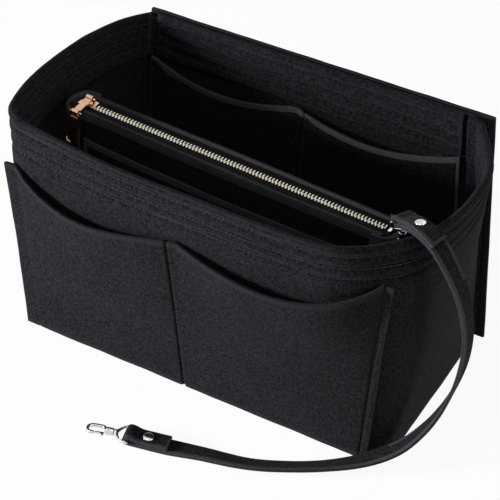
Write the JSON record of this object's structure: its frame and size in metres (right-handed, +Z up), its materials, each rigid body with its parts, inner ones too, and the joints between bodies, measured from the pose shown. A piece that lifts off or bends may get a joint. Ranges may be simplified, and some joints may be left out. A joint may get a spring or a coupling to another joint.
{
  "type": "purse organizer insert",
  "caption": "open felt tub with outer and inner slip pockets, a tall zipped felt pouch standing in it, and a felt strap with a trigger hook at each end",
  "frame": {"origin": "middle of the base on the surface it stands on", "axes": "+X to the right along the front, +Y to the back, +Z up"},
  "size_m": [0.3472, 0.2578, 0.1888],
  "materials": {
    "felt": "black wool-look felt",
    "tape": "woven zipper tape",
    "gold": "pale gold plated teeth",
    "rose": "polished rose gold",
    "nickel": "polished nickel"
  },
  "bodies": {
    "tub": {"body_wrap": "felt", "back_wall": "felt", "outer_back_panel": "felt", "base_panel": "felt", "front_pocket_panel": "felt", "inner_back_pocket_panel": "felt", "far_strap_fold": "felt", "far_rivet": "nickel"},
    "pouch": {"pouch_front_panel": "felt", "pouch_back_panel": "felt", "pouch_left_end": "felt", "pouch_right_end": "felt", "pouch_floor": "felt", "pouch_slip_pocket": "felt", "zip_tape_front": "tape", "zip_tape_back": "tape", "zip_teeth_front": "gold", "zip_teeth_back": "gold", "zip_top_stop": "gold", "zip_bottom_stop": "gold", "ring_tab": "felt", "pouch_ring": "nickel", "near_strap_fold": "felt", "near_rivet": "nickel", "strap": "felt", "near_hook_eye": "nickel", "near_hook_body": "nickel"},
    "slider": {"zip_slider": "rose"},
    "link": {"puller_link": "rose"},
    "puller": {"puller_plate": "rose"},
    "near_gate": {"near_hook_gate": "nickel"},
    "far_eye": {"far_hook_eye": "nickel"},
    "far_hook": {"far_hook_body": "nickel"},
    "far_gate": {"far_hook_gate": "nickel"}
  },
  "joints": [
    {"name": "pouch_lift", "type": "slide", "parent": "tub", "child": "pouch", "axis": [0, 0, 1], "range_m": [0, 0.18]},
    {"name": "zip_slide", "type": "slide", "parent": "pouch", "child": "slider", "axis": [0.9982, -0.0593, 0], "range_m": [0, 0.229]},
    {"name": "link_swing", "type": "hinge", "parent": "slider", "child": "link", "pos_m": [-0.1343, -0.02062, 0.1609], "axis": [-0.9982, 0.0593, 0], "range_deg": [0, 165]},
    {"name": "puller_swing", "type": "hinge", "parent": "link", "child": "puller", "pos_m": [-0.13533, -0.038, 0.1583], "axis": [-0.9982, 0.0593, 0], "range_deg": [0, 110]},
    {"name": "near_gate_open", "type": "hinge", "parent": "pouch", "child": "near_gate", "pos_m": [0.11982, -0.04308, 0.15659], "axis": [0.0509, 0.9914, 0.1207], "range_deg": [0, 25], "stiffness_Nm_per_rad": 0.002, "springref_deg": -17.19},
    {"name": "far_gate_open", "type": "hinge", "parent": "far_hook", "child": "far_gate", "pos_m": [-0.03343, -0.16015, 0.00275], "axis": [0.0919, 0.0204, -0.9956], "range_deg": [0, 25], "stiffness_Nm_per_rad": 0.002, "springref_deg": -17.19},
    {"name": "far_eye_swing", "type": "hinge", "parent": "tub", "child": "far_eye", "pos_m": [-0.016, -0.153, 0.0045], "axis": [-0.2169, 0.9762, 0], "range_deg": [0, 100]},
    {"name": "far_swivel", "type": "hinge", "parent": "far_eye", "child": "far_hook", "pos_m": [-0.016, -0.153, 0.0045], "axis": [-0.9719, -0.2159, -0.0941], "continuous": true}
  ]
}
